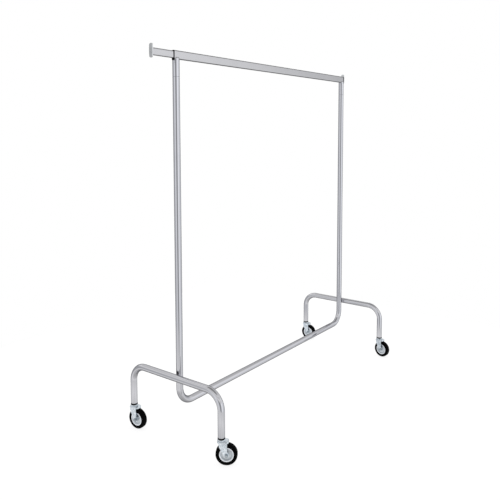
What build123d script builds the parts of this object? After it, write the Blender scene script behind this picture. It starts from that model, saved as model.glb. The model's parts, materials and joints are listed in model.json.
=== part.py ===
from build123d import *
import os
from math import cos, radians, sin, sqrt

# Rolling clothes rack: a chromed tube frame on four swivel casters, with a flat hang
# rail that has a pull-out extension at each end.
# Millimetres. +X runs along the hang rail to the right, +Y to the back, +Z up. The
# origin is on the floor, midway between the four caster stems.

# ---- Driving dimensions -------------------------------------------------------------
tube_d = 30.0              # round tube of the uprights, feet and bottom rail
tube_wall = 1.5
bend_radius = 75.0         # centreline radius of every tube bend

upright_spacing = 1435.0   # between the two upright axes
bottom_rail_z = 168.5      # axis of the bottom rail
bottom_joint_x = 550.0     # where the bottom rail meets the bent ends of the uprights
foot_bar_z = 297.3         # axis of the foot's top bar
leg_spacing = 522.0        # between the two leg axes of one foot
weld_gap = 0.6             # between upright and foot bar, filled by the weld

rail_height = 36.0         # hang rail, a flat rectangular tube
rail_width = 15.0
rail_wall = 1.2
rail_corner = 3.0
rail_top_z = 1693.5
post_visible = 73.0        # post below the hang rail, above the joint with the upright
post_ear = 8.0             # how far the post's domed top reaches up the rail's sides
spigot_length = 60.0       # reduced tube end that plugs into its neighbour
joint_chamfer = 0.8        # on both tube ends at a plug joint

extension_height = 30.0
extension_width = 10.0
extension_wall = 1.2
extension_corner = 2.0
extension_travel = 305.0
left_extension_out = 121.0  # the left extension is stored this far out
slide_gap = 0.3            # running gap all round a sliding piece

bushing_flange = 2.0
bushing_lip = 0.3          # how far the flange stands proud of the rail
bushing_sleeve = 30.0      # part of the bushing inside the rail
bushing_nose = 3.0         # extra depth of the flange under the rail
cap_thickness = 4.5
cap_width = 16.0           # at its top and bottom
cap_belly = 2.0            # how far each long side bows out
cap_corner = 6.8
cap_height = 57.0
cap_rise = 3.5             # the cap sits higher than the rail, to stop a hanger
cap_plug = 18.0
glide_length = 15.0

wheel_radius = 45.2
tyre_width = 25.0
tyre_shoulder = 5.0
rim_radius = 30.4
caster_trail = 21.0        # axle behind the swivel axis
fork_inside = 30.0
fork_plate = 2.5
crown_top_z = 102.5
crown_skirt = 8.0
crown_front = 17.5         # crown's reach ahead of the swivel axis
crown_rear = 31.0          # and behind it
crown_corner = 11.0
crown_edge = 3.5           # rounding of the crown's top edge
socket_z = 108.0           # underside of the black socket ring
socket_ring = 5.4
stem_d = 11.0
stem_top_z = 148.0
race_radius = 17.0
ball_d = 4.0
ball_pitch_radius = 11.5
ball_count = 12
axle_d = 8.0
sleeve_d = 12.0
hex_across_flats = 13.0
running_gap = 0.05         # radial, shaft in hole

# Side, front or back, and the direction in which each wheel trails, in degrees
casters = {
    "left_front": (-1, -1, -55.0),
    "left_back": (-1, 1, -84.0),
    "right_front": (1, -1, -98.0),
    "right_back": (1, 1, -84.0),
}

# ---- Worked out from the driving dimensions ------------------------------------------
tube_r = tube_d / 2
bore_r = tube_r - tube_wall
upright_x = upright_spacing / 2
foot_x = upright_x + tube_d + weld_gap
leg_y = leg_spacing / 2
tube_end_z = socket_z + socket_ring
rail_end_x = upright_x + tube_r
rail_z = rail_top_z - rail_height / 2
rail_bottom_z = rail_top_z - rail_height
post_joint_z = rail_bottom_z - post_visible
rail_inside = (rail_height - 2 * rail_wall, rail_width - 2 * rail_wall)
flange_end_x = rail_end_x + bushing_flange
closed_cap_x = flange_end_x + slide_gap
glide_end_x = rail_end_x - bushing_sleeve - slide_gap - extension_travel
extension_inner_x = glide_end_x - glide_length


def flat_bar(height, width, corner, start_x, end_x, z=rail_z):
    """A rounded rectangular bar along X, standing on its narrow side."""
    section = Plane.YZ * RectangleRounded(width, height, corner)
    return Pos(start_x, 0, z) * extrude(section, end_x - start_x)


def round_bar(radius, low, high):
    """A cylinder along Z between two heights."""
    bottom = (Align.CENTER, Align.CENTER, Align.MIN)
    return Pos(0, 0, low) * Cylinder(radius, high - low, align=bottom)


def bent_tube(points):
    """A round tube along straight runs joined by bends of the standard radius."""
    path = FilletPolyline(*points, radius=bend_radius)
    section = Plane(origin=path @ 0, z_dir=path % 0) * (Circle(tube_r) - Circle(bore_r))
    return sweep(section, path=path)


def end_chamfer(depth_along, depth_across):
    """The ring to cut from a tube that ends at Z = 0 and runs up, to taper its end."""
    blank = round_bar(tube_r + 1, -1, depth_along)
    bottom = (Align.CENTER, Align.CENTER, Align.MIN)
    rise = depth_along + 1
    slope = depth_across / depth_along
    core = Cone(tube_r - slope * rise, tube_r, rise, align=bottom)
    return blank - Pos(0, 0, -1) * core


# ---- Frame ---------------------------------------------------------------------------
def upright(side):
    """Vertical tube whose lower end is bent inwards to carry the bottom rail."""
    x = side * upright_x
    points = [(x, 0, post_joint_z), (x, 0, bottom_rail_z), (side * bottom_joint_x, 0, bottom_rail_z)]
    tube = bent_tube(points)
    cutter = end_chamfer(joint_chamfer, joint_chamfer)
    tube -= Pos(x, 0, post_joint_z) * Rot(180, 0, 0) * cutter
    tube -= Pos(side * bottom_joint_x, 0, bottom_rail_z) * Rot(0, 90 * side, 0) * cutter
    return tube


def plug_end():
    """Reduced tube end, from its shoulder at Z = 0 down to the tip."""
    wall = tube_wall
    tip_taper = 4.0
    profile = Polyline(
        (bore_r - wall, 0),
        (bore_r, 0),
        (bore_r, -spigot_length + tip_taper),
        (bore_r - 1, -spigot_length),
        (bore_r - wall - 1, -spigot_length),
        (bore_r - wall, -spigot_length + tip_taper),
        close=True,
    )
    return revolve(Plane.XZ * make_face(profile), Axis.Z)


def plug_shoulder():
    """Chamfered ring where a full-size tube steps down to its plug end."""
    profile = Polyline(
        (bore_r - tube_wall, 0),
        (tube_r - joint_chamfer, 0),
        (tube_r, joint_chamfer),
        (tube_r, 3),
        (bore_r, 3),
        (bore_r - tube_wall, 3 - tube_wall),
        close=True,
    )
    return revolve(Plane.XZ * make_face(profile), Axis.Z)


def bottom_rail():
    """Straight tube with a reduced end that plugs into each upright."""
    half = bottom_joint_x - 3
    tube = round_bar(tube_r, -half, half) - round_bar(bore_r, -half, half)
    end = Pos(0, 0, -bottom_joint_x) * (plug_shoulder() + plug_end())
    tube = tube + end + Rot(180, 0, 0) * end
    return Pos(0, 0, bottom_rail_z) * Rot(0, 90, 0) * tube


def foot(side):
    """Inverted U of tube; its two open ends hold the caster sockets."""
    x = side * foot_x
    points = [(x, -leg_y, tube_end_z), (x, -leg_y, foot_bar_z), (x, leg_y, foot_bar_z), (x, leg_y, tube_end_z)]
    tube = bent_tube(points)
    taper = end_chamfer(4.0, 0.7)
    for y in (-leg_y, leg_y):
        tube -= Pos(x, y, tube_end_z) * taper
    return tube


def foot_weld(side):
    """Bead that fills the gap between an upright and the foot bar crossing it."""
    bead_radius = 11.0
    bead_half = 6.0
    arc = EllipticalCenterArc((0, 0), bead_half, bead_radius, start_angle=0, arc_size=180)
    lens = revolve(make_face([arc, Line((-bead_half, 0), (bead_half, 0))]), Axis.X)
    lens = Pos(side * (upright_x + tube_r + weld_gap / 2), 0, foot_bar_z) * lens
    post = Pos(side * upright_x, 0, 0) * round_bar(tube_r, foot_bar_z - 40, foot_bar_z + 40)
    bar = Pos(side * foot_x, 0, foot_bar_z) * Rot(90, 0, 0) * round_bar(tube_r, -40, 40)
    return lens - post - bar


def post(side):
    """Short post under the hang rail: domed top slotted for the rail, plug end below."""
    dome = 7.0
    top = rail_bottom_z + post_ear
    body = round_bar(tube_r, post_joint_z + 3, top)
    body = fillet(body.edges().group_by(Axis.Z)[-1], dome)
    body -= round_bar(bore_r, post_joint_z + 3, rail_bottom_z - 3)
    body -= flat_bar(rail_height, rail_width, rail_corner, -tube_d, tube_d)
    body += Pos(0, 0, post_joint_z) * (plug_shoulder() + plug_end())
    return Pos(side * upright_x, 0, 0) * body


def hang_rail():
    """Flat rectangular tube, open at both ends."""
    inside_height, inside_width = rail_inside
    tube = flat_bar(rail_height, rail_width, rail_corner, -rail_end_x, rail_end_x)
    return tube - flat_bar(inside_height, inside_width, rail_corner - rail_wall, -rail_end_x, rail_end_x)


def rail_bushing():
    """Black plastic bushing in the right end of the hang rail."""
    inside_height, inside_width = rail_inside
    lip = 2 * bushing_lip
    flange_height = rail_height + lip + bushing_nose
    flange_z = rail_z - bushing_nose / 2
    flange = flat_bar(flange_height, rail_width + lip, 4.0, rail_end_x, flange_end_x, flange_z)
    flange = chamfer(flange.faces().sort_by(Axis.X)[-1].edges(), 0.5)
    sleeve_start = rail_end_x - bushing_sleeve
    sleeve = flat_bar(inside_height, inside_width, rail_corner - rail_wall, sleeve_start, rail_end_x)
    gap = 2 * slide_gap
    opening = flat_bar(
        extension_height + gap,
        extension_width + gap,
        extension_corner + slide_gap,
        sleeve_start - 1,
        flange_end_x + 1,
    )
    return flange + sleeve - opening


# ---- Extensions, made closed on the right side ----------------------------------------
def extension_rail():
    """Smaller flat tube that slides inside the hang rail."""
    wall = 2 * extension_wall
    args = (extension_inner_x, closed_cap_x)
    tube = flat_bar(extension_height, extension_width, extension_corner, *args)
    inner_corner = extension_corner - extension_wall
    return tube - flat_bar(extension_height - wall, extension_width - wall, inner_corner, *args)


def end_cap():
    """Tall oblong cap with cross grooves, and a plug that fits the extension rail."""
    z = rail_z + cap_rise
    outer_x = closed_cap_x + cap_thickness
    half_width = cap_width / 2
    half_height = cap_height / 2
    corners = [(-half_width, -half_height), (-half_width, half_height)]
    corners += [(half_width, half_height), (half_width, -half_height)]
    outline = make_face([
        ThreePointArc(corners[0], (-half_width - cap_belly, 0), corners[1]),
        Line(corners[1], corners[2]),
        ThreePointArc(corners[2], (half_width + cap_belly, 0), corners[3]),
        Line(corners[3], corners[0]),
    ])
    outline = fillet(outline.vertices(), cap_corner)
    cap = Pos(closed_cap_x, 0, z) * extrude(Plane.YZ * outline, cap_thickness)
    cap = fillet(cap.faces().sort_by(Axis.X)[-1].edges(), 1.6)
    groove_pitch = 7.6
    for step in (-1.5, -0.5, 0.5, 1.5):
        groove = Box(1.0, cap_width - 5, 1.4)
        cap -= Pos(outer_x, 0, rail_z + step * groove_pitch) * groove
    wall = 2 * extension_wall
    plug = flat_bar(
        extension_height - wall,
        extension_width - wall,
        extension_corner - extension_wall,
        closed_cap_x - cap_plug,
        closed_cap_x,
    )
    plug = chamfer(plug.faces().sort_by(Axis.X)[0].edges(), 0.7)
    return cap + plug


def extension_glide():
    """Plastic collar on the extension's inner end; it stops the pull at the bushing."""
    inside_height, inside_width = rail_inside
    gap = 2 * slide_gap
    args = (extension_inner_x, glide_end_x)
    collar = flat_bar(inside_height - gap, inside_width - gap, rail_corner - rail_wall, *args)
    return collar - flat_bar(extension_height, extension_width, extension_corner, *args)


def to_left(piece, out=0.0):
    """The same piece mirrored to the left end, drawn out by the given distance."""
    return Pos(-out, 0, 0) * mirror(piece, about=Plane.YZ)


# ---- Caster: swivel axis on Z, wheel trailing towards +X, axle along Y -----------------
def socket():
    """Black plastic socket: ring under the tube end and a body inside the tube."""
    ring = round_bar(tube_r + 0.6, socket_z, tube_end_z)
    ring = fillet(ring.edges().group_by(Axis.Z)[-1], 0.8)
    ring = fillet(ring.edges().group_by(Axis.Z)[0], 0.8)
    body = round_bar(bore_r, tube_end_z, stem_top_z + 4)
    body = chamfer(body.edges().group_by(Axis.Z)[-1], 1.5)
    return ring + body - round_bar(stem_d / 2, socket_z - 1, stem_top_z)


def stem():
    """Kingpin: riveted head under the crown, shank up into the socket."""
    head_low = crown_top_z - fork_plate - 3.2
    head_high = crown_top_z - fork_plate - 0.2
    head = round_bar(8.5, head_low, head_high)
    head = fillet(head.edges().group_by(Axis.Z)[0], 1.6)
    shank = round_bar(stem_d / 2, head_high, stem_top_z)
    shank = chamfer(shank.edges().group_by(Axis.Z)[-1], 1.0)
    return head + shank


def ball_race():
    """Upper race: a pressed cup on the stem that rides on the balls."""
    low = crown_top_z + 0.4
    cup = round_bar(race_radius, low, socket_z)
    cup = fillet(cup.edges().group_by(Axis.Z)[-1], 3.2)
    hollow_radius = race_radius - 2.0
    hollow = round_bar(hollow_radius, low - 1, low + 1.0)
    groove = Pos(0, 0, ball_z) * Torus(ball_pitch_radius, ball_d / 2 + 0.1)
    return cup - hollow - groove - round_bar(stem_d / 2, low - 1, socket_z + 1)


def ball_ring():
    """Ring of loose balls between the two races."""
    ring = []
    for k in range(ball_count):
        angle = radians(360.0 * k / ball_count)
        place = Pos(ball_pitch_radius * cos(angle), ball_pitch_radius * sin(angle), ball_z)
        ring.append(place * Sphere(ball_d / 2))
    return Compound(children=ring)


def crown():
    """Shallow pressed cup with a ball groove; the two legs hang from its sides."""
    width = fork_inside + 2 * fork_plate
    length = crown_front + crown_rear
    middle = (crown_rear - crown_front) / 2
    low = crown_top_z - crown_skirt
    outer = Pos(middle, 0, low) * extrude(RectangleRounded(length, width, crown_corner), crown_skirt)
    outer = fillet(outer.edges().group_by(Axis.Z)[-1], crown_edge)
    thin = 2 * fork_plate
    hollow = RectangleRounded(length - thin, width - thin, crown_corner - fork_plate)
    hollow = Pos(middle, 0, low) * extrude(hollow, crown_skirt - fork_plate)
    hollow = fillet(hollow.edges().group_by(Axis.Z)[-1], 1.0)
    groove = Pos(0, 0, ball_z) * Torus(ball_pitch_radius, ball_d / 2 + 0.1)
    return outer - hollow - groove


def fork_leg():
    """One flat tapering leg, on the +Y side, with a round end about the axle."""
    end_radius = 10.0
    top = crown_top_z - crown_edge
    front_top = (-12.5, top)
    front_knee = (-9.0, 81.0)
    rear_top = (24.0, top)
    rear_knee = (24.0, 60.0)
    axle = (caster_trail, wheel_radius)
    front_touch = tangent_point(front_knee, axle, end_radius, 1)
    rear_touch = (axle[0] + end_radius, axle[1] + 2.0)
    outline = Polyline(front_top, front_knee, front_touch, axle, rear_touch, rear_knee, rear_top, close=True)
    blade = make_face(outline) + Pos(*axle) * Circle(end_radius)
    knees = [v for v in blade.vertices() if v.Y > axle[1] + 12 and v.Y < top - 5]
    blade = fillet(knees, 9.0)
    rib_centre = ((front_knee[0] + rear_knee[0]) / 2, 76.0)
    leg = extrude(Plane.XZ.offset(-fork_inside / 2 - fork_plate) * blade, fork_plate)
    rib = SlotCenterToCenter(22, 9)
    rib = Plane.XZ.offset(-fork_inside / 2 - fork_plate) * Pos(*rib_centre) * Rot(0, 0, 74) * rib
    rib = extrude(rib, -0.9, taper=35)
    return leg + rib


def tangent_point(start, centre, radius, turn):
    """Where a line from start touches a circle, on the side given by turn."""
    dx = centre[0] - start[0]
    dz = centre[1] - start[1]
    distance = sqrt(dx * dx + dz * dz)
    along = sqrt(distance * distance - radius * radius)
    c = along / distance
    s = -turn * radius / distance
    return (start[0] + (dx * c - dz * s) * c, start[1] + (dx * s + dz * c) * c)


def fork():
    """Swivelling fork: crown and two legs, bored for the kingpin and the axle."""
    leg = fork_leg()
    body = crown() + leg + mirror(leg, about=Plane.XZ)
    body -= round_bar(stem_d / 2 + running_gap, crown_top_z - 10, crown_top_z + 1)
    axle_hole = Rot(90, 0, 0) * round_bar(axle_d / 2 + running_gap, -fork_inside, fork_inside)
    return body - Pos(caster_trail, 0, wheel_radius) * axle_hole


def on_axle(piece):
    """Turn a piece made along Z so that its +Z end looks to -Y, on the axle."""
    return Pos(caster_trail, 0, wheel_radius) * Rot(90, 0, 0) * piece


def hexagon(low, high):
    """Hex prism with its corners chamfered at the outer end."""
    bottom = (Align.CENTER, Align.CENTER, Align.MIN)
    blank = RegularPolygon(hex_across_flats / 2, 6, major_radius=False)
    prism = Pos(0, 0, low) * extrude(blank, high - low)
    reach = hex_across_flats / 2 + (high - low) * 2.0 + 0.2
    return prism & Pos(0, 0, low) * Cone(reach, hex_across_flats / 2 - 0.2, high - low, align=bottom)


def axle_bolt():
    """Hex bolt: head on the +Y side, threaded end past the nut on the -Y side."""
    half = fork_inside / 2 + fork_plate
    head = Rot(180, 0, 0) * hexagon(half, half + 5.3)
    shank = round_bar(axle_d / 2, -half, half + 8.3)
    shank = chamfer(shank.edges().group_by(Axis.Z)[-1], 0.9)
    return on_axle(head + shank)


def axle_nut():
    """Lock nut with a round collar."""
    half = fork_inside / 2 + fork_plate
    collar = round_bar(hex_across_flats / 2 - 0.7, half + 5.0, half + 7.0)
    collar = fillet(collar.edges().group_by(Axis.Z)[-1], 0.8)
    nut = hexagon(half, half + 5.0) + collar
    return on_axle(nut - round_bar(axle_d / 2, half - 1, half + 9))


def axle_sleeve():
    """Steel spacer tube clamped between the fork legs; the wheel turns on it."""
    half = fork_inside / 2
    return on_axle(round_bar(sleeve_d / 2, -half, half) - round_bar(axle_d / 2, -half, half))


def hub():
    """Wheel centre: rim, dished web and boss, bored for the sleeve."""
    rim_half = tyre_width / 2 - 1.0
    half_profile = [
        (sleeve_d / 2 + running_gap, 0),
        (sleeve_d / 2 + running_gap, fork_inside / 2 - 0.6),
        (9.2, fork_inside / 2 - 0.6),
        (10.0, fork_inside / 2 - 1.4),
        (10.6, 8.2),
        (20.5, 7.0),
        (21.5, 8.6),
        (24.2, 9.0),
        (25.4, rim_half - 0.6),
        (26.2, rim_half),
        (rim_radius - 0.6, rim_half),
        (rim_radius, rim_half - 0.6),
        (rim_radius, 0),
    ]
    other_half = [(r, -z) for r, z in reversed(half_profile[1:-1])]
    outline = Polyline(*half_profile, *other_half, close=True)
    return on_axle(revolve(Plane.XZ * make_face(outline), Axis.Z))


def tyre():
    """Solid rubber tyre with rounded shoulders."""
    half = tyre_width / 2
    centre_r = wheel_radius - tyre_shoulder
    centre_z = half - tyre_shoulder
    lip = (rim_radius + 3.0, half)
    root = (rim_radius, half - 1.6)
    top_arc = CenterArc((centre_r, centre_z), tyre_shoulder, 0, 90)
    bottom_arc = CenterArc((centre_r, -centre_z), tyre_shoulder, 270, 90)
    edges = [
        Line((rim_radius, -root[1]), root),
        Line(root, lip),
        Line(lip, (centre_r, half)),
        top_arc,
        Line((wheel_radius, -centre_z), (wheel_radius, centre_z)),
        bottom_arc,
        Line((centre_r, -half), (lip[0], -half)),
        Line((lip[0], -half), (rim_radius, -root[1])),
    ]
    return on_axle(revolve(Plane.XZ * make_face(edges), Axis.Z))


ball_z = crown_top_z + ball_d / 2 - 0.6


def build():
    """Every piece of the rack by node name."""
    pieces = {"hang_rail": hang_rail(), "bottom_rail": bottom_rail()}
    pieces["foot_welds"] = Compound(children=[foot_weld(-1), foot_weld(1)])
    for name, side in (("left", -1), ("right", 1)):
        pieces[name + "_upright"] = upright(side)
        pieces[name + "_post"] = post(side)
        pieces[name + "_foot"] = foot(side)

    bushing = rail_bushing()
    pieces["right_rail_bushing"] = bushing
    pieces["left_rail_bushing"] = to_left(bushing)
    sliding = {
        "extension_rail": extension_rail(),
        "end_cap": end_cap(),
        "extension_glide": extension_glide(),
    }
    for name, piece in sliding.items():
        pieces["right_" + name] = piece
        pieces["left_" + name] = to_left(piece, left_extension_out)

    caster = {
        "socket": socket(),
        "stem": stem(),
        "ball_race": ball_race(),
        "balls": ball_ring(),
        "fork": fork(),
        "axle_bolt": axle_bolt(),
        "axle_nut": axle_nut(),
        "axle_sleeve": axle_sleeve(),
        "hub": hub(),
        "tyre": tyre(),
    }
    for corner, (side, depth, heading) in casters.items():
        place = Pos(side * foot_x, depth * leg_y, 0) * Rot(0, 0, heading)
        for name, piece in caster.items():
            pieces[corner + "_caster_" + name] = place * piece
    return pieces


os.makedirs("parts", exist_ok=True)
for node, piece in build().items():
    export_step(piece, "parts/" + node + ".step")
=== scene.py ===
"""Looks of the rolling clothes rack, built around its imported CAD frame."""
import json
import math

import bpy
from mathutils import Matrix, Vector


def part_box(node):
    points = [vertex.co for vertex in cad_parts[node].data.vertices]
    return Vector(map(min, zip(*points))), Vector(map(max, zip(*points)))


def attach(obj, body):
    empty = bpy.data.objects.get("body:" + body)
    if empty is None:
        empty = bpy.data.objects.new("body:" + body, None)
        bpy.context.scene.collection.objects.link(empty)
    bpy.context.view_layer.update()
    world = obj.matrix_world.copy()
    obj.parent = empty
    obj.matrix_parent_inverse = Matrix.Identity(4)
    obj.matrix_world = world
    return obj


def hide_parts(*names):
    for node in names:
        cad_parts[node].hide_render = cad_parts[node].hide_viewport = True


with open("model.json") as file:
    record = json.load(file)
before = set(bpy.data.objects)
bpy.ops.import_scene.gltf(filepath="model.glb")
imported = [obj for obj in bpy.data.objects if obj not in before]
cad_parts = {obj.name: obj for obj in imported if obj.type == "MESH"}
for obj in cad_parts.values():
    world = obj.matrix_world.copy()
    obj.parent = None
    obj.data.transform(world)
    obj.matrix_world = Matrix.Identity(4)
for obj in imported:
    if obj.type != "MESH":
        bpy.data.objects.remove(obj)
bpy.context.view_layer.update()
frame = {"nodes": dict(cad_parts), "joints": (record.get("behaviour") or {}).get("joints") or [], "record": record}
nodes = frame["nodes"]
scene = bpy.context.scene


# ---- Node helpers --------------------------------------------------------------------
class Shader:
    """A node material with short ways to add what every finish here needs."""

    def __init__(self, name, **constants):
        self.material = bpy.data.materials.new(name)
        self.material.use_nodes = True
        self.tree = self.material.node_tree
        self.surface = self.tree.nodes["Principled BSDF"]
        for socket, value in constants.items():
            self.surface.inputs[socket.replace("_", " ")].default_value = value
        self.place = self.add("ShaderNodeTexCoord").outputs["Object"]

    def add(self, kind, **settings):
        node = self.tree.nodes.new(kind)
        for key, value in settings.items():
            setattr(node, key, value)
        return node

    def link(self, output, socket):
        self.tree.links.new(output, socket)

    def turned(self, matrix):
        """Object coordinates in the frame of an axle: its axis becomes Z."""
        mapping = self.add("ShaderNodeMapping", vector_type="POINT")
        mapping.inputs["Location"].default_value = matrix.to_translation()
        mapping.inputs["Rotation"].default_value = matrix.to_euler()
        self.link(self.place, mapping.inputs["Vector"])
        return mapping.outputs["Vector"]

    def stretched(self, scale, vector=None):
        """Coordinates scaled unevenly, for grain that runs one way."""
        mapping = self.add("ShaderNodeMapping")
        mapping.inputs["Scale"].default_value = scale
        self.link(vector or self.place, mapping.inputs["Vector"])
        return mapping.outputs["Vector"]

    def radius(self, vector):
        """Distance from the Z axis of the given coordinates."""
        flat = self.stretched((1, 1, 0), vector)
        length = self.add("ShaderNodeVectorMath", operation="LENGTH")
        self.link(flat, length.inputs[0])
        return length.outputs["Value"]

    def noise(self, scale, detail=3.0, roughness=0.5, vector=None):
        node = self.add("ShaderNodeTexNoise")
        node.inputs["Scale"].default_value = scale
        node.inputs["Detail"].default_value = detail
        node.inputs["Roughness"].default_value = roughness
        self.link(vector or self.place, node.inputs["Vector"])
        return node.outputs["Fac"]

    def cells(self, scale, vector=None):
        node = self.add("ShaderNodeTexVoronoi")
        node.inputs["Scale"].default_value = scale
        self.link(vector or self.place, node.inputs["Vector"])
        grey = self.add("ShaderNodeRGBToBW")
        self.link(node.outputs["Color"], grey.inputs["Color"])
        return grey.outputs["Val"]

    def spread(self, value, low, high, start=0.3, stop=0.7):
        """Map a value in start..stop to low..high, and hold it outside."""
        node = self.add("ShaderNodeMapRange", clamp=True)
        node.inputs["From Min"].default_value = start
        node.inputs["From Max"].default_value = stop
        node.inputs["To Min"].default_value = low
        node.inputs["To Max"].default_value = high
        self.link(value, node.inputs["Value"])
        return node.outputs["Result"]

    def maths(self, operation, first, second):
        node = self.add("ShaderNodeMath", operation=operation)
        for socket, value in zip(node.inputs, (first, second)):
            if isinstance(value, (int, float)):
                socket.default_value = value
            else:
                self.link(value, socket)
        return node.outputs["Value"]

    def colour(self, value, low, high, start=0.3, stop=0.7):
        """Base colour that runs from low to high as value goes from start to stop."""
        ramp = self.add("ShaderNodeValToRGB")
        ramp.color_ramp.elements[0].position = start
        ramp.color_ramp.elements[0].color = (*low, 1)
        ramp.color_ramp.elements[1].position = stop
        ramp.color_ramp.elements[1].color = (*high, 1)
        self.link(value, ramp.inputs["Fac"])
        self.link(ramp.outputs["Color"], self.surface.inputs["Base Color"])

    def dim(self, share):
        """Multiply the base colour by a share."""
        scaled = self.add("ShaderNodeVectorMath", operation="SCALE")
        base = self.surface.inputs["Base Color"]
        self.link(base.links[0].from_socket, scaled.inputs[0])
        self.link(share, scaled.inputs["Scale"])
        self.link(scaled.outputs["Vector"], base)

    def paint_edge_shade(self, floor, start, stop):
        """Painted shade: base colour falls to a share of itself where the surface turns away from the view."""
        weight = self.add("ShaderNodeLayerWeight")
        weight.inputs["Blend"].default_value = 0.5
        self.dim(self.spread(weight.outputs["Facing"], 1.0, floor, start, stop))

    def paint_corner_shade(self, share, centre, half_width, half_height):
        """Painted shade: base colour falls to a share of itself along the four corners of a flat tube, a dark
        reflection line painted into the colour.
        """
        offset = self.add("ShaderNodeVectorMath", operation="SUBTRACT")
        offset.inputs[1].default_value = centre
        self.link(self.place, offset.inputs[0])
        parts = self.add("ShaderNodeSeparateXYZ")
        self.link(offset.outputs["Vector"], parts.inputs["Vector"])
        width = self.maths("ABSOLUTE", parts.outputs["Y"], 0.0)
        height = self.maths("ABSOLUTE", parts.outputs["Z"], 0.0)
        near_side = self.spread(width, 0.0, 1.0, half_width - 0.003, half_width - 0.0012)
        near_top = self.spread(height, 0.0, 1.0, half_height - 0.0042, half_height - 0.0024)
        corner = self.maths("MULTIPLY", near_side, near_top)
        self.dim(self.spread(corner, 1.0, share, 0.0, 1.0))

    def paint_spot_shade(self, share, centre, inner, outer):
        """Painted shade: base colour falls to a share of itself round one point."""
        gap = self.add("ShaderNodeVectorMath", operation="DISTANCE")
        gap.inputs[1].default_value = centre
        self.link(self.place, gap.inputs[0])
        self.dim(self.spread(gap.outputs["Value"], share, 1.0, inner, outer))

    def rough(self, value, low, high, start=0.3, stop=0.7):
        self.link(self.spread(value, low, high, start, stop), self.surface.inputs["Roughness"])

    def bump(self, height, strength, distance):
        """Stack one more bump onto the surface."""
        node = self.add("ShaderNodeBump")
        node.inputs["Strength"].default_value = strength
        node.inputs["Distance"].default_value = distance
        self.link(height, node.inputs["Height"])
        normal = self.surface.inputs["Normal"]
        if normal.is_linked:
            self.link(normal.links[0].from_socket, node.inputs["Normal"])
        self.link(node.outputs["Normal"], normal)


# ---- Finishes ------------------------------------------------------------------------
def chrome(name, tone, haze=0.0, red=1.0, blue=1.0, edge_shade=(0.80, 0.42, 0.90), flat_tube=None, weld_shade_spots=()):
    """Bright chrome plate: slow waviness of the drawn tube, polishing marks, faint haze.
    Painted shade darkens the base colour where the surface turns away from the view, along
    the tight corners of a flat tube, and on each upright just above its weld to the foot bar."""
    s = Shader(name, Metallic=1.0)
    cloud = s.noise(11, 4, 0.6)
    s.colour(cloud, (tone * 0.95 * red, tone * 0.95, tone * 0.95 * blue), (tone * red, tone, tone * blue))
    s.surface.inputs["Specular Tint"].default_value = (0.3, 0.3, 0.31, 1)
    # Painted shade: the colour darkens where the surface turns away from the view.
    s.paint_edge_shade(*edge_shade)
    # Painted shade: a dark line of reflection painted along the corners of a flat tube.
    if flat_tube:
        low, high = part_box(flat_tube)
        middle = (low + high) / 2 - Vector((0, 0, 0.0008))
        s.paint_corner_shade(0.40, middle, (high.y - low.y) / 2, (high.z - low.z) / 2)
    # Painted shade: nearly black spots on the uprights just above the welds to the foot bars.
    for spot in weld_shade_spots:
        s.paint_spot_shade(0.06, spot, 0.0050, 0.0105)
    s.rough(s.noise(42, 5, 0.62), 0.035 + haze, 0.10 + haze)
    s.bump(s.noise(24, 2), 0.16, 0.0006)
    s.bump(s.noise(260, 2), 0.05, 0.0001)
    s.bump(s.noise(1100, 3, 0.7), 0.06, 0.00004)
    return s.material


def zinc(name, tone=0.80):
    """Bright zinc on pressed steel: soft spangle, a cool cast, small dents of the press."""
    s = Shader(name, Metallic=1.0)
    blotch = s.maths("MULTIPLY", s.noise(75, 4, 0.6), s.spread(s.cells(210), 0.8, 1.15, 0.2, 0.8))
    dull = (tone * 0.70, tone * 0.78, tone * 0.84)
    bright = (tone * 1.02, tone * 1.08, tone * 1.14)
    s.colour(blotch, dull, bright, 0.35, 0.65)
    s.rough(s.noise(160, 4, 0.6), 0.10, 0.26)
    s.bump(s.noise(46, 2, 0.5), 0.6, 0.0022)
    s.bump(s.noise(620, 4, 0.7), 0.18, 0.0001)
    return s.material


def alloy(name, axle):
    """Die-cast hub, turned on a lathe: fine rings about the axle and a dull bloom."""
    s = Shader(name, Metallic=1.0)
    here = s.turned(axle)
    reach = s.radius(here)
    rings = s.maths("SINE", s.maths("MULTIPLY", reach, 9000.0), 0.0)
    rim = s.spread(reach, 0.0, 0.62, 0.0246, 0.0258)
    patch = s.maths("ADD", rim, s.maths("MULTIPLY", s.noise(90, 4, 0.6), 0.38))
    s.colour(patch, (0.56, 0.60, 0.63), (0.93, 0.96, 1.0), 0.10, 0.85)
    s.rough(s.maths("ADD", s.maths("MULTIPLY", rings, 0.05), s.noise(140, 3)), 0.24, 0.42)
    s.bump(rings, 0.12, 0.00006)
    s.bump(s.noise(420, 4, 0.7), 0.22, 0.0001)
    return s.material


def rubber(name, axle):
    """Black solid rubber: matt, dusty on the tread, finely ribbed on the walls."""
    s = Shader(name)
    s.surface.inputs["Specular IOR Level"].default_value = 0.03
    here = s.turned(axle)
    dust = s.noise(70, 5, 0.7)
    s.colour(dust, (0.0003, 0.0003, 0.0005), (0.002, 0.002, 0.0025), 0.35, 0.75)
    s.rough(s.noise(180, 4, 0.6), 0.42, 0.62)
    rings = s.maths("SINE", s.maths("MULTIPLY", s.radius(here), 5200.0), 0.0)
    s.bump(rings, 0.10, 0.00008)
    s.bump(s.noise(900, 4, 0.75), 0.35, 0.00012)
    return s.material


def moulded_black():
    """Black nylon with a fine moulded grain."""
    s = Shader("black_nylon")
    s.surface.inputs["Specular IOR Level"].default_value = 0.08
    s.colour(s.noise(55, 4), (0.0006, 0.0006, 0.0008), (0.003, 0.003, 0.0035))
    s.rough(s.noise(240, 4), 0.30, 0.48)
    s.bump(s.cells(1500), 0.20, 0.00008)
    return s.material


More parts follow.
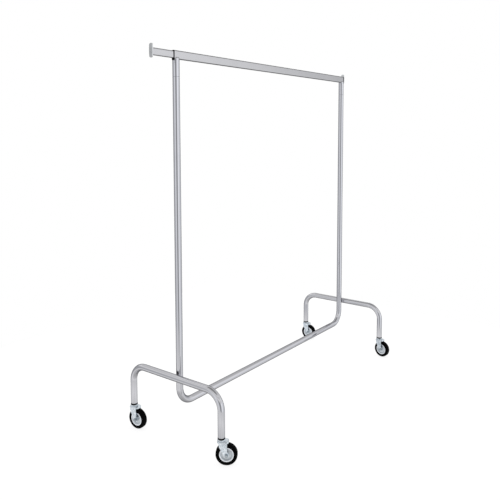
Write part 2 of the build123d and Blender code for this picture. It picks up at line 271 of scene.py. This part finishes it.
def polished_steel():
    s = Shader("bearing_balls", Metallic=1.0)
    s.colour(s.noise(300, 3), (0.50, 0.50, 0.50), (0.60, 0.60, 0.61))
    s.rough(s.noise(500, 3), 0.08, 0.18)
    s.bump(s.noise(1500, 2), 0.05, 0.00003)
    return s.material


# ---- Casters: where each axle is, from the joints --------------------------------------
CORNERS = ("left_front", "left_back", "right_front", "right_back")


def axle_frame(corner):
    """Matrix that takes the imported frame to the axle: origin on the axle, its axis along Z."""
    spin = next(j for j in frame["joints"] if j["name"] == corner + "_wheel_spin")
    axis = Vector(spin["axis"]).normalized()
    turn = axis.to_track_quat("Z", "Y").to_matrix().to_4x4()
    return (Matrix.Translation(spin["pos_m"]) @ turn).inverted()


def dress():
    """Give every carried-over CAD node the finish of its slot."""
    # Spots of painted shade, on each upright just above its weld to the foot bar.
    weld_low, weld_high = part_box("foot_welds")
    over_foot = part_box("left_foot")[1].z + 0.003
    weld_shade_spots = [Vector((x, 0, over_foot)) for x in (weld_low.x, weld_high.x)]
    # The edge numbers set the painted shade where the surface turns away: share, start, stop.
    flat = {"haze": 0.03, "red": 1.01, "blue": 1.01, "edge_shade": (0.22, 0.56, 0.76)}
    shared = {
        "chrome": chrome("chrome_plate", 0.62, blue=1.045, weld_shade_spots=weld_shade_spots),
        "rail_chrome": chrome("rail_chrome", 0.57, flat_tube="hang_rail", **flat),
        "extension_chrome": chrome("extension_chrome", 0.57, flat_tube="left_extension_rail", **flat),
        "cap_metal": chrome("cap_chrome", 0.68, haze=0.12, red=0.99, edge_shade=(0.4, 0.5, 0.9)),
        "zinc_plate": zinc("zinc_plate"),
        "axle_end": zinc("axle_end", 0.50),
        "black_plastic": moulded_black(),
        "bearing_steel": polished_steel(),
    }
    for corner in CORNERS:
        axle = axle_frame(corner)
        shared[corner + "_hub"] = alloy(corner + "_hub_alloy", axle)
        shared[corner + "_tyre"] = rubber(corner + "_rubber", axle)
    for part in frame["record"]["subparts"]:
        name, slot_name = part["node"], part["material_slot"]
        corner = next((c for c in CORNERS if name.startswith(c)), None)
        if slot_name == "hub_alloy":
            finish = shared[corner + "_hub"]
        elif slot_name == "tyre_rubber":
            finish = shared[corner + "_tyre"]
        elif name.endswith(("_axle_nut", "_axle_bolt")):
            finish = shared["axle_end"]
        elif name == "hang_rail":
            finish = shared["rail_chrome"]
        elif name.endswith("_extension_rail"):
            finish = shared["extension_chrome"]
        else:
            finish = shared[slot_name]
        mesh = nodes[name].data
        mesh.materials.clear()
        mesh.materials.append(finish)
    return shared


finishes = dress()


# ---- Smooth shading of the carried-over CAD nodes ---------------------------------------
def smoothing():
    """Modifier tree: weld the seams of the CAD mesh and keep only real corners sharp."""
    tree = bpy.data.node_groups.new("smooth_but_sharp_corners", "GeometryNodeTree")
    tree.interface.new_socket("Geometry", in_out="INPUT", socket_type="NodeSocketGeometry")
    tree.interface.new_socket("Geometry", in_out="OUTPUT", socket_type="NodeSocketGeometry")
    start = tree.nodes.new("NodeGroupInput")
    merge = tree.nodes.new("GeometryNodeMergeByDistance")
    merge.inputs["Distance"].default_value = 2e-6
    smooth = tree.nodes.new("GeometryNodeSetShadeSmooth")
    angle = tree.nodes.new("GeometryNodeInputMeshEdgeAngle")
    corner = tree.nodes.new("FunctionNodeCompare")
    corner.inputs["B"].default_value = math.radians(32)
    sharp = tree.nodes.new("GeometryNodeSetShadeSmooth")
    sharp.domain = "EDGE"
    sharp.inputs["Shade Smooth"].default_value = False
    end = tree.nodes.new("NodeGroupOutput")
    tree.links.new(start.outputs[0], merge.inputs["Geometry"])
    tree.links.new(merge.outputs["Geometry"], smooth.inputs["Geometry"])
    tree.links.new(smooth.outputs["Geometry"], sharp.inputs["Geometry"])
    tree.links.new(angle.outputs["Unsigned Angle"], corner.inputs["A"])
    tree.links.new(corner.outputs["Result"], sharp.inputs["Selection"])
    tree.links.new(sharp.outputs["Geometry"], end.inputs[0])
    return tree


round_off = smoothing()
for part in frame["record"]["subparts"]:
    nodes[part["node"]].modifiers.new("round_off", "NODES").node_group = round_off


# ---- Pieces made here -------------------------------------------------------------------
def piece(name, points, faces, finish, body, replaced=(), sharp=40):
    """A closed mesh object that rides on a body, in place of CAD nodes if any are named.
    Corners steeper than sharp, in degrees, stay crisp."""
    mesh = bpy.data.meshes.new(name)
    mesh.from_pydata([tuple(p) for p in points], [], faces)
    mesh.validate()
    mesh.polygons.foreach_set("use_smooth", [True] * len(mesh.polygons))
    mesh.set_sharp_from_angle(angle=math.radians(sharp))
    mesh.materials.append(finish)
    made = bpy.data.objects.new(name, mesh)
    scene.collection.objects.link(made)
    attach(made, body)
    if replaced:
        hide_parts(*replaced)
    return made


def rings(loops):
    """Quads between closed loops of equal length, last loop joined to the first."""
    count, size = len(loops), len(loops[0])
    points = [p for loop in loops for p in loop]
    faces = []
    for i in range(count):
        j = (i + 1) % count
        for k in range(size):
            m = (k + 1) % size
            faces.append((i * size + k, i * size + m, j * size + m, j * size + k))
    return points, faces


def arc(centre, radius, start, stop, steps):
    """Points on a circle in the plane of a section, angles in degrees."""
    return [(centre[0] + radius * math.cos(math.radians(start + (stop - start) * i / steps)),
             centre[1] + radius * math.sin(math.radians(start + (stop - start) * i / steps)))
            for i in range(steps + 1)]


def tyre_section(outer, inner, half, shoulder):
    """Right half of a tyre section as (radius, across): wall ridge, shoulder, mould line."""
    wall = [(inner, half * 0.96), (inner + 0.0006, half - 0.0002), (inner + 0.0016, half)]
    ridge = inner + (outer - shoulder - inner) * 0.62
    wall += [(ridge - 0.0008, half), (ridge - 0.0004, half + 0.00035),
             (ridge + 0.0004, half + 0.00035), (ridge + 0.0008, half)]
    bend = arc((outer - shoulder, half - shoulder), shoulder, 90, 0, 10)
    tread = [(outer, 0.0042), (outer - 0.0005, 0.0038), (outer - 0.0005, 0.0033), (outer, 0.0029),
             (outer, 0.0005), (outer + 0.00025, 0.0002)]
    return wall + bend + tread


TYRE_DEPTH, TYRE_HALF_WIDTH, TYRE_SHOULDER = 0.0148, 0.0125, 0.005


def tyre(corner, segments=160):
    """Moulded tyre: the section turned about the axle."""
    low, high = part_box(corner + "_caster_tyre")
    outer = (high.z - low.z) / 2
    right = tyre_section(outer, outer - TYRE_DEPTH, TYRE_HALF_WIDTH, TYRE_SHOULDER)
    section = right + [(r, -z) for r, z in reversed(right)]
    back = axle_frame(corner).inverted()
    loops = []
    for i in range(segments):
        turn = 2 * math.pi * i / segments
        loops.append([back @ Vector((r * math.cos(turn), r * math.sin(turn), z)) for r, z in section])
    points, faces = rings(loops)
    return piece(corner + "_tyre_moulded", points, faces, finishes[corner + "_tyre"],
                 corner + "_wheel", (corner + "_caster_tyre",))


def weld_finish():
    s = Shader("weld_metal", Metallic=1.0)
    s.colour(s.noise(320, 4, 0.6), (0.20, 0.20, 0.21), (0.42, 0.42, 0.43))
    s.rough(s.noise(500, 3), 0.18, 0.36)
    s.bump(s.noise(900, 3), 0.2, 0.00008)
    return s.material


def weld_ring(side, along=72, around=14):
    """Rippled bead round the point where a foot bar touches its upright."""
    tube, reach = 0.015, 0.0088
    low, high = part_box("foot_welds")
    contact = high[0] - 0.0034 if side > 0 else low[0] + 0.0034
    centre_z = (low[2] + high[2]) / 2
    loops = []
    for i in range(along):
        t = 2 * math.pi * i / along
        across, rise = reach * math.cos(t), reach * math.sin(t)
        gap = 0.0003 + reach ** 2 / (4 * tube)
        bead = gap + 0.0007 + 0.00022 * math.sin(t * 18 + 0.8 * math.sin(3 * t))
        middle = contact - side * (across ** 2 - rise ** 2) / (4 * tube)
        loop = []
        for k in range(around):
            a = 2 * math.pi * k / around
            spread = reach + bead * math.cos(a)
            loop.append(Vector((middle + side * bead * math.sin(a),
                                spread * math.cos(t), centre_z + spread * math.sin(t))))
        loops.append(loop)
    return rings(loops)


def welds(finish):
    """Both beads as one piece, since they are one CAD node."""
    points, faces = weld_ring(-1)
    more_points, more_faces = weld_ring(1)
    shift = len(points)
    points += more_points
    faces = [tuple(reversed(f)) for f in faces] + [tuple(i + shift for i in f) for f in more_faces]
    return piece("foot_weld_beads", points, faces, finish, "frame", ("foot_welds",), sharp=80)


def snap_tab(side, name):
    """Rounded tab of the bushing, hooked under the end of the hang rail."""
    low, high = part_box("hang_rail")
    rail_end = side * high.x
    height, half, length, bevel, skin = 0.0048, 0.0066, 0.0020, 0.0011, 0.0007
    corners = [(half - bevel, 0, -60, 0), (half - bevel, height - bevel, 0, 90),
               (-half + bevel, height - bevel, 90, 180), (-half + bevel, 0, 180, 240)]
    outline = []
    for across, drop, start, stop in corners:
        outline += arc((across, drop + bevel * 0.4), bevel, start, stop, 5)
    loops = []
    for inset, along in ((skin, 0.0), (0.0, skin), (0.0, length - skin), (skin, length)):
        shrink = 1 - inset / half
        x = rail_end + side * (length + 0.0001 - along)
        loops.append([Vector((x, y * shrink, low.z - 0.0003 - d * shrink)) for y, d in outline])
    points = [p for loop in loops for p in loop]
    size, count = len(outline), len(loops)
    faces = [(i * size + k, i * size + m, (i + 1) * size + m, (i + 1) * size + k)
             for i in range(count - 1) for k in range(size) for m in ((k + 1) % size,)]
    faces += [tuple(reversed(range(size))), tuple(range((count - 1) * size, count * size))]
    if side > 0:
        faces = [tuple(reversed(f)) for f in faces]
    return piece(name + "_bushing_tab", points, faces, finishes["black_plastic"], "frame")


snap_tab(-1, "left")
snap_tab(1, "right")
for wheel_corner in CORNERS:
    tyre(wheel_corner)
welds(weld_finish())


# ---- Stage ----------------------------------------------------------------------------
def camera():
    """The photograph's viewpoint: yaw from +X towards +Y, pitch down, roll."""
    data = bpy.data.cameras.new("camera")
    data.sensor_width = 36.0
    data.lens = 42.515
    data.shift_x = -0.001
    data.shift_y = -0.137
    data.clip_start = 0.05
    data.clip_end = 60.0
    eye = bpy.data.objects.new("camera", data)
    scene.collection.objects.link(eye)
    yaw, pitch, roll = math.radians(37.084), math.radians(4.537), math.radians(0.12)
    forward = Vector((math.cos(yaw) * math.cos(pitch), math.sin(yaw) * math.cos(pitch), -math.sin(pitch)))
    turn = forward.to_track_quat("-Z", "Y").to_matrix() @ Matrix.Rotation(-roll, 3, "Z")
    eye.matrix_world = Matrix.Translation((-2.5229, -1.7538, 1.3426)) @ turn.to_4x4()
    scene.camera = eye


# Studio wall, going round: bearing in degrees from +X towards +Y, and how bright it is.
WALL = ((22, 0.50), (60, 0.50), (100, 0.58), (130, 0.60), (152, 0.70), (168, 1.08),
        (188, 1.05), (201, 0.42), (230, 0.42), (248, 1.15), (264, 1.42), (282, 1.05),
        (302, 0.92), (316, 0.98), (333, 0.80), (350, 0.60))
# Above and below the wall: sine of the elevation, and how bright the room is there.
ROOM = ((-1.0, 0.50), (-0.76, 0.66), (-0.64, 0.76), (-0.50, 1.02), (-0.38, 0.92), (0.40, 0.88),
        (0.54, 1.00), (0.62, 0.74), (0.71, 0.80), (0.79, 1.05), (0.88, 0.48), (1.0, 0.34))


def studio():
    """White to the camera; in reflections a wall whose brightness changes with the bearing."""
    world = bpy.data.worlds.new("studio")
    world.use_nodes = True
    scene.world = world
    tree = world.node_tree
    background = tree.nodes["Background"]
    place = tree.nodes.new("ShaderNodeTexCoord")
    parts = tree.nodes.new("ShaderNodeSeparateXYZ")
    tree.links.new(place.outputs["Generated"], parts.inputs["Vector"])
    bearing = tree.nodes.new("ShaderNodeMath")
    bearing.operation = "ARCTAN2"
    tree.links.new(parts.outputs["Y"], bearing.inputs[0])
    tree.links.new(parts.outputs["X"], bearing.inputs[1])
    turn = tree.nodes.new("ShaderNodeMath")
    turn.operation = "MULTIPLY_ADD"
    turn.inputs[1].default_value = 0.5 / math.pi
    turn.inputs[2].default_value = 1.0
    tree.links.new(bearing.outputs[0], turn.inputs[0])
    share = tree.nodes.new("ShaderNodeMath")
    share.operation = "FRACT"
    tree.links.new(turn.outputs[0], share.inputs[0])
    wall = tree.nodes.new("ShaderNodeValToRGB")
    wall.color_ramp.interpolation = "EASE"
    stops = wall.color_ramp.elements
    for degrees, level in WALL:
        stop = stops.new(degrees / 360)
        stop.color = (level * 0.985, level, level * 1.03, 1)
    ends = (WALL[0][1] + WALL[-1][1]) / 2
    for end in (stops[0], stops[-1]):
        end.color = (ends, ends, ends, 1)
    tree.links.new(share.outputs[0], wall.inputs["Fac"])
    # The wall fades into the bands of the ceiling above and of the ground below.
    up = tree.nodes.new("ShaderNodeMapRange")
    up.inputs["From Min"].default_value = -1.0
    tree.links.new(parts.outputs["Z"], up.inputs["Value"])
    room = tree.nodes.new("ShaderNodeValToRGB")
    bands = room.color_ramp.elements
    for rise, level in ROOM[1:-1]:
        band = bands.new((rise + 1) / 2)
        band.color = (level, level, level, 1)
    for band, (rise, level) in zip((bands[0], bands[-1]), (ROOM[0], ROOM[-1])):
        band.color = (level, level, level, 1)
    tree.links.new(up.outputs["Result"], room.inputs["Fac"])
    reflected = wall.outputs["Color"]
    for start, stop in ((0.18, 0.42), (-0.30, -0.44)):
        height = tree.nodes.new("ShaderNodeMapRange")
        height.interpolation_type = "SMOOTHSTEP"
        height.inputs["From Min"].default_value = start
        height.inputs["From Max"].default_value = stop
        tree.links.new(parts.outputs["Z"], height.inputs["Value"])
        fade = tree.nodes.new("ShaderNodeMix")
        fade.data_type = "RGBA"
        tree.links.new(height.outputs["Result"], fade.inputs["Factor"])
        tree.links.new(reflected, fade.inputs["A"])
        tree.links.new(room.outputs["Color"], fade.inputs["B"])
        reflected = fade.outputs["Result"]
    # Soft unevenness, so that bright metal is never one flat tone.
    cloud = tree.nodes.new("ShaderNodeTexNoise")
    cloud.inputs["Scale"].default_value = 1.7
    cloud.inputs["Detail"].default_value = 2.0
    tree.links.new(place.outputs["Generated"], cloud.inputs["Vector"])
    uneven = tree.nodes.new("ShaderNodeMapRange")
    uneven.inputs["From Min"].default_value = 0.35
    uneven.inputs["From Max"].default_value = 0.65
    uneven.inputs["To Min"].default_value = 0.86
    uneven.inputs["To Max"].default_value = 1.14
    tree.links.new(cloud.outputs["Fac"], uneven.inputs["Value"])
    mottled = tree.nodes.new("ShaderNodeVectorMath")
    mottled.operation = "SCALE"
    tree.links.new(reflected, mottled.inputs[0])
    tree.links.new(uneven.outputs["Result"], mottled.inputs["Scale"])
    seen = tree.nodes.new("ShaderNodeLightPath")
    choice = tree.nodes.new("ShaderNodeMix")
    choice.data_type = "RGBA"
    choice.inputs["B"].default_value = (1, 1, 1, 1)
    tree.links.new(seen.outputs["Is Camera Ray"], choice.inputs["Factor"])
    tree.links.new(mottled.outputs["Vector"], choice.inputs["A"])
    tree.links.new(choice.outputs["Result"], background.inputs["Color"])


def floor():
    """Pale floor that fades into the white background; it isn't mirrored in the chrome."""
    mesh = bpy.data.meshes.new("floor")
    half = 1.7
    corners = [(-half, -half, 0), (half, -half, 0), (half, half, 0), (-half, half, 0)]
    mesh.from_pydata(corners, [], [(0, 1, 2, 3)])
    ground = bpy.data.objects.new("floor", mesh)
    scene.collection.objects.link(ground)
    material = bpy.data.materials.new("pale_floor")
    material.use_nodes = True
    surface = material.node_tree.nodes["Principled BSDF"]
    surface.inputs["Base Color"].default_value = (0.30, 0.30, 0.30, 1)
    surface.inputs["Roughness"].default_value = 0.9
    surface.inputs["Specular IOR Level"].default_value = 0.2
    surface.inputs["Emission Color"].default_value = (1, 1, 1, 1)
    surface.inputs["Emission Strength"].default_value = 0.82
    mesh.materials.append(material)
    ground.visible_glossy = False


camera()
studio()
floor()
scene.view_settings.view_transform = "Standard"
